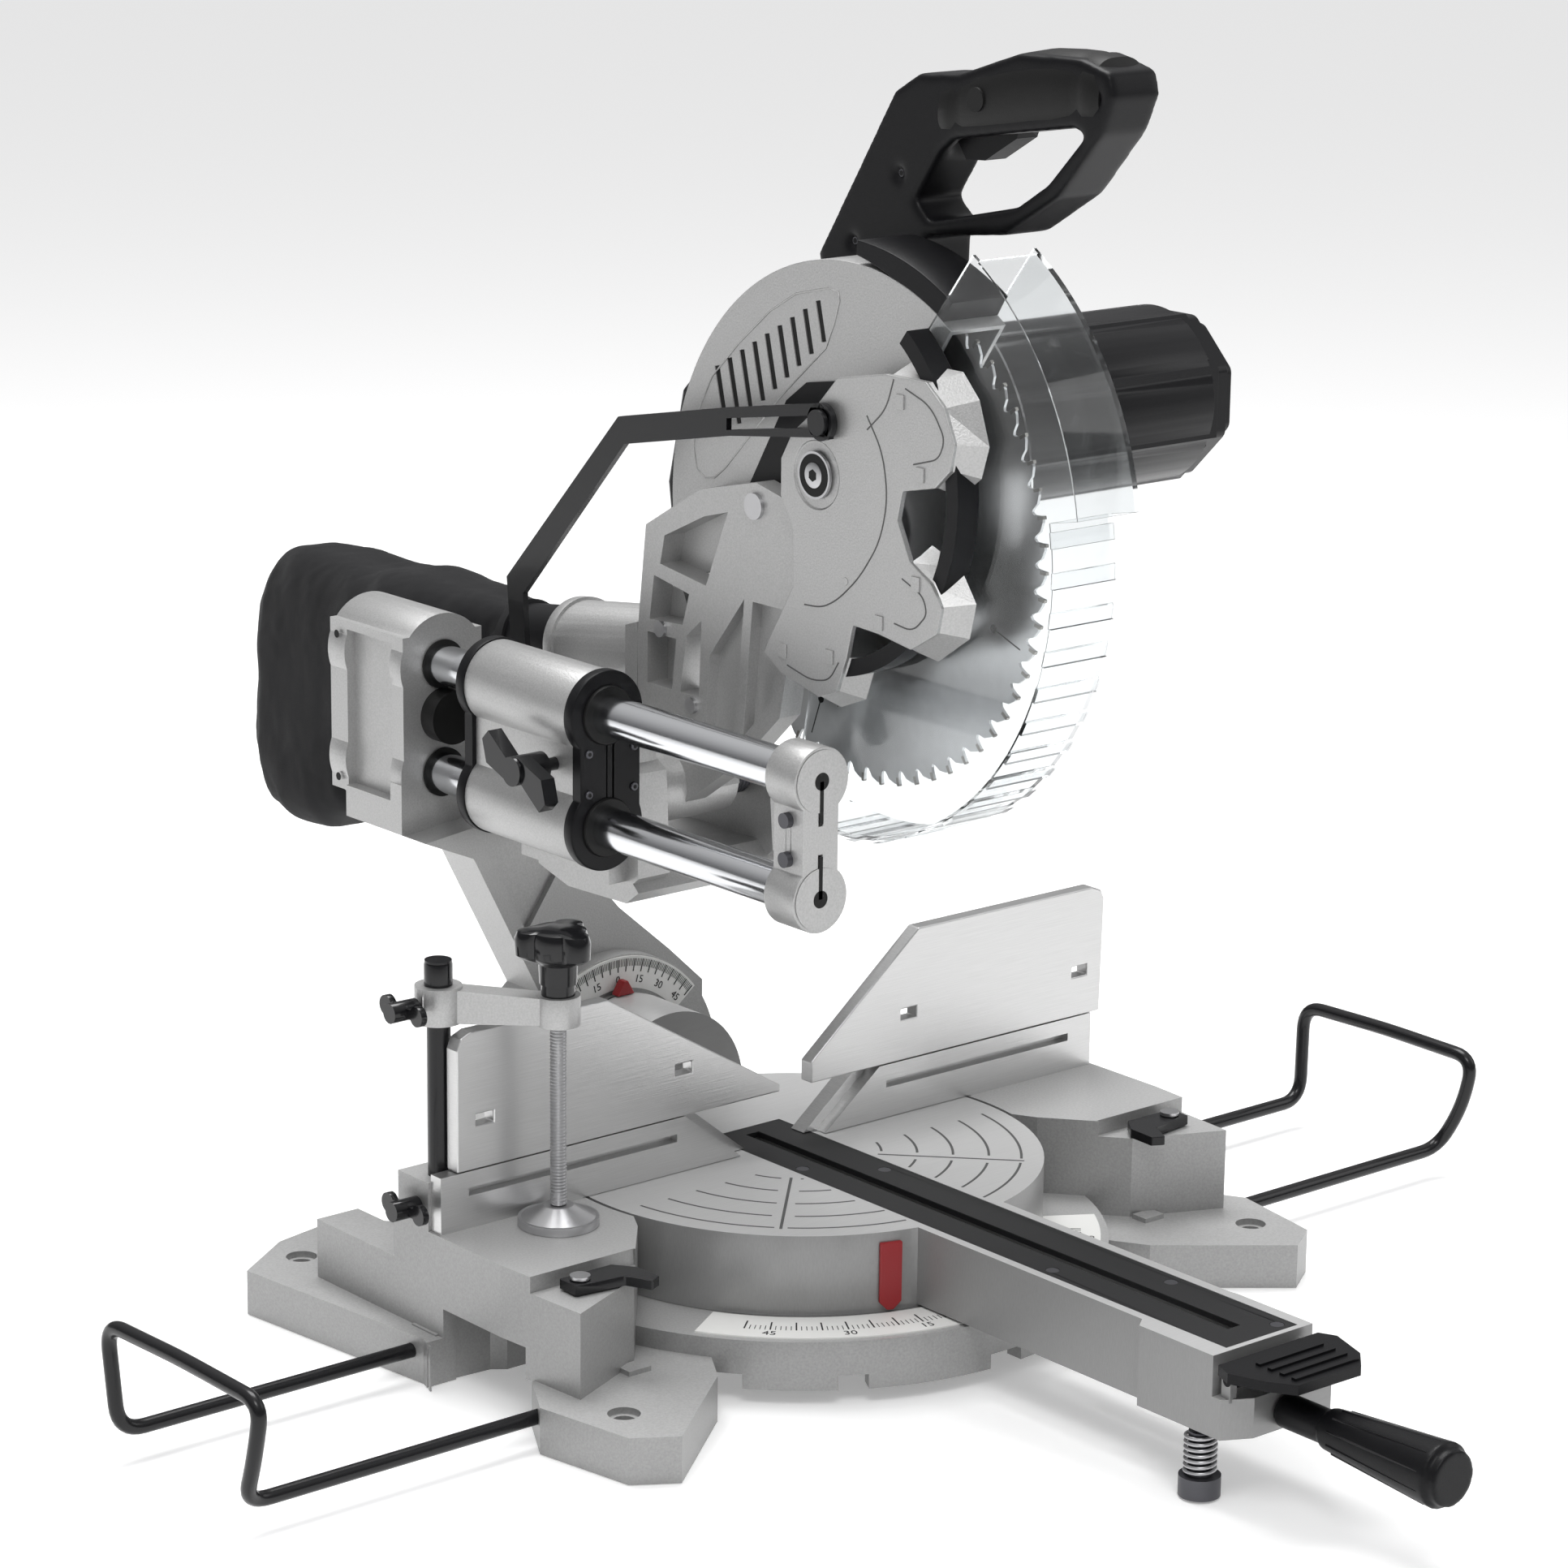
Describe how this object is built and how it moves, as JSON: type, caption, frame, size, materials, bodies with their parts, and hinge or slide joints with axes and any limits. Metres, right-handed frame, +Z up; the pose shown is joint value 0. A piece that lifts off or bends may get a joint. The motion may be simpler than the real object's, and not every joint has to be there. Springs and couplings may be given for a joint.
{
  "type": "sliding compound mitre saw",
  "caption": "Sliding compound mitre saw with round turntable, tall sliding fences, twin guide rails, clear lower guard, side-mounted motor, hold-down clamp and dust bag.",
  "frame": {"origin": "floor level at the centre of the four bench bolt holes", "axes": "+X right along the fence, +Y to the back, +Z up"},
  "size_m": [0.9656, 1.088, 0.773],
  "materials": {
    "cast_aluminium": "satin",
    "machined_aluminium": "brushed",
    "polished_steel": "polished",
    "blade_steel": "satin",
    "dark_steel": "satin",
    "black_plastic": "matte",
    "black_paint": "gloss",
    "gloss_black": "gloss",
    "white_scale": "matte",
    "red_plastic": "gloss",
    "bushing_brass": "satin",
    "black_rubber": "matte",
    "bag_fabric": "matte",
    "clear_plastic": "clear"
  },
  "bodies": {
    "base": {"base_casting": "cast_aluminium", "mitre_scale": "white_scale", "fence_lower": "machined_aluminium", "flip_stop_screws": "dark_steel"},
    "turntable": {"turntable_casting": "cast_aluminium", "kerf_insert": "black_plastic", "insert_screws": "dark_steel", "pointers": "red_plastic", "bevel_pivot_bolt": "dark_steel", "detent_bar": "dark_steel"},
    "bevel_arm": {"bevel_arm_casting": "cast_aluminium", "bevel_scale": "white_scale", "rails": "polished_steel", "rail_bracket": "cast_aluminium", "bracket_screws": "dark_steel", "rail_bumper": "black_rubber"},
    "bevel_lock": {"bevel_lever": "black_plastic"},
    "carriage": {"carriage_casting": "cast_aluminium", "carriage_end_plates": "black_plastic", "carriage_bushings": "bushing_brass", "head_pivot_pin": "dark_steel", "torsion_spring": "dark_steel"},
    "slide_lock": {"slide_lock_knob": "black_plastic"},
    "head": {"head_arm": "cast_aluminium", "upper_guard": "cast_aluminium", "gear_case": "cast_aluminium", "head_bolts": "dark_steel", "guard_trim": "black_plastic", "motor_housing": "black_plastic", "motor_cap": "black_plastic", "drive_cover": "black_plastic", "handle": "black_plastic", "dust_port": "cast_aluminium", "bag_neck": "black_plastic", "dust_bag": "bag_fabric", "guard_bolt": "dark_steel"},
    "trigger_body": {"trigger": "black_plastic"},
    "lock_button_body": {"lock_button": "black_plastic"},
    "spindle": {"blade": "blade_steel", "arbor": "dark_steel", "blade_flanges": "dark_steel"},
    "lower_guard": {"guard_clear": "clear_plastic", "guard_hub_plate": "cast_aluminium", "guard_hub_ring": "black_plastic"},
    "link": {"guard_link": "black_paint"},
    "fence_left": {"fence_upper_left": "machined_aluminium"},
    "fence_right": {"fence_upper_right": "machined_aluminium"},
    "wire_left": {"side_wire_left": "black_paint"},
    "wire_right": {"side_wire_right": "black_paint"},
    "post": {"clamp_post": "dark_steel"},
    "clamp_beam": {"clamp_arm": "cast_aluminium"},
    "clamp_pad": {"clamp_foot": "gloss_black"},
    "clamp_spindle": {"clamp_screw": "gloss_black"},
    "wing_upper": {"clamp_wing_upper": "gloss_black"},
    "wing_lower": {"clamp_wing_lower": "gloss_black"},
    "stop_left": {"flip_stop_left": "black_paint"},
    "stop_right": {"flip_stop_right": "black_paint"},
    "grip": {"mitre_grip": "black_plastic"},
    "pedal": {"detent_pedal": "black_plastic"},
    "foot_screw": {"front_foot": "dark_steel"}
  },
  "joints": [
    {"name": "mitre_swivel", "type": "hinge", "parent": "base", "child": "turntable", "pos_m": [0, -0.013, 0.04], "axis": [0, 0, 1], "range_deg": [-50, 50]},
    {"name": "bevel_tilt", "type": "hinge", "parent": "turntable", "child": "bevel_arm", "pos_m": [0, 0.19, 0.09], "axis": [0, 1, 0], "range_deg": [-2, 45]},
    {"name": "bevel_lock_turn", "type": "hinge", "parent": "turntable", "child": "bevel_lock", "pos_m": [0, 0.264, 0.09], "axis": [0, 1, 0], "range_deg": [0, 60]},
    {"name": "carriage_slide", "type": "slide", "parent": "bevel_arm", "child": "carriage", "axis": [0, 1, 0], "range_m": [-0.165, 0.03]},
    {"name": "slide_lock_turn", "type": "hinge", "parent": "carriage", "child": "slide_lock", "pos_m": [-0.14, 0.065, 0.34], "axis": [1, 0, 0], "range_deg": [-90, 90]},
    {"name": "head_pivot", "type": "hinge", "parent": "carriage", "child": "head", "pos_m": [0, 0.075, 0.312], "axis": [-1, 0, 0], "range_deg": [-69.3, 0], "stiffness_Nm_per_rad": 22, "springref_deg": 126.05},
    {"name": "guard_swing", "type": "hinge", "parent": "head", "child": "lower_guard", "pos_m": [-0.04, -0.074, 0.527], "axis": [-1, 0, 0], "range_deg": [0, 130.2]},
    {"name": "link_swing", "type": "hinge", "parent": "carriage", "child": "link", "pos_m": [-0.048, 0.197, 0.331], "axis": [-1, 0, 0], "range_deg": [-48.6, 0]},
    {"name": "blade_spin", "type": "hinge", "parent": "head", "child": "spindle", "pos_m": [0, -0.072, 0.49], "axis": [1, 0, 0], "continuous": true},
    {"name": "trigger_press", "type": "hinge", "parent": "head", "child": "trigger_body", "pos_m": [0.047, -0.1, 0.731], "axis": [-1, 0, 0], "range_deg": [0, 6], "stiffness_Nm_per_rad": 0.5, "springref_deg": -17.19},
    {"name": "lock_button_press", "type": "slide", "parent": "head", "child": "lock_button_body", "axis": [1, 0, 0], "range_m": [0, 0.003], "stiffness_N_per_m": 150, "springref_m": -0.001},
    {"name": "fence_slide_left", "type": "slide", "parent": "base", "child": "fence_left", "axis": [1, 0, 0], "range_m": [-0.06, 0]},
    {"name": "fence_slide_right", "type": "slide", "parent": "base", "child": "fence_right", "axis": [1, 0, 0], "range_m": [0, 0.06]},
    {"name": "wire_slide_left", "type": "slide", "parent": "base", "child": "wire_left", "axis": [1, 0, 0], "range_m": [-0.03, 0.15]},
    {"name": "wire_slide_right", "type": "slide", "parent": "base", "child": "wire_right", "axis": [1, 0, 0], "range_m": [-0.15, 0.03]},
    {"name": "clamp_lift", "type": "slide", "parent": "base", "child": "post", "axis": [0, 0, 1], "range_m": [0, 0.06]},
    {"name": "clamp_swivel", "type": "hinge", "parent": "post", "child": "clamp_beam", "pos_m": [-0.247, 0.019, 0.225], "axis": [0, 0, 1], "range_deg": [-60, 0]},
    {"name": "clamp_travel", "type": "slide", "parent": "clamp_beam", "child": "clamp_pad", "axis": [0, 0, 1], "range_m": [0, 0.03]},
    {"name": "clamp_turn", "type": "hinge", "parent": "clamp_pad", "child": "clamp_spindle", "pos_m": [-0.194, -0.026, 0.2], "axis": [0, 0, 1], "range_deg": [0, 3601]},
    {"name": "clamp_wing_upper_turn", "type": "hinge", "parent": "clamp_beam", "child": "wing_upper", "pos_m": [-0.27, 0.019, 0.225], "axis": [1, 0, 0], "range_deg": [-180, 180]},
    {"name": "clamp_wing_lower_turn", "type": "hinge", "parent": "base", "child": "wing_lower", "pos_m": [-0.27, 0.019, 0.104], "axis": [1, 0, 0], "range_deg": [-180, 180]},
    {"name": "flip_stop_left_turn", "type": "hinge", "parent": "base", "child": "stop_left", "pos_m": [-0.235, -0.1, 0.084], "axis": [0, 0, 1], "range_deg": [-90, 0]},
    {"name": "flip_stop_right_turn", "type": "hinge", "parent": "base", "child": "stop_right", "pos_m": [0.235, -0.1, 0.084], "axis": [0, 0, 1], "range_deg": [0, 90]},
    {"name": "grip_turn", "type": "hinge", "parent": "turntable", "child": "grip", "pos_m": [0, -0.48, 0.054], "axis": [0, 1, 0], "range_deg": [-180, 180]},
    {"name": "pedal_press", "type": "hinge", "parent": "turntable", "child": "pedal", "pos_m": [0, -0.421, 0.076], "axis": [1, 0, 0], "range_deg": [0, 8], "stiffness_Nm_per_rad": 4, "springref_deg": -20.05},
    {"name": "foot_screw_turn", "type": "hinge", "parent": "turntable", "child": "foot_screw", "pos_m": [-0.031, -0.398, 0.02], "axis": [0, 0, 1], "range_deg": [-180, 180]}
  ],
  "couplings": [
    {"joint": "guard_swing", "follows": "head_pivot", "ratio": -1.876},
    {"joint": "link_swing", "follows": "head_pivot", "ratio": 0.7},
    {"joint": "clamp_turn", "follows": "clamp_travel", "rad_per_m": 2094.4}
  ]
}
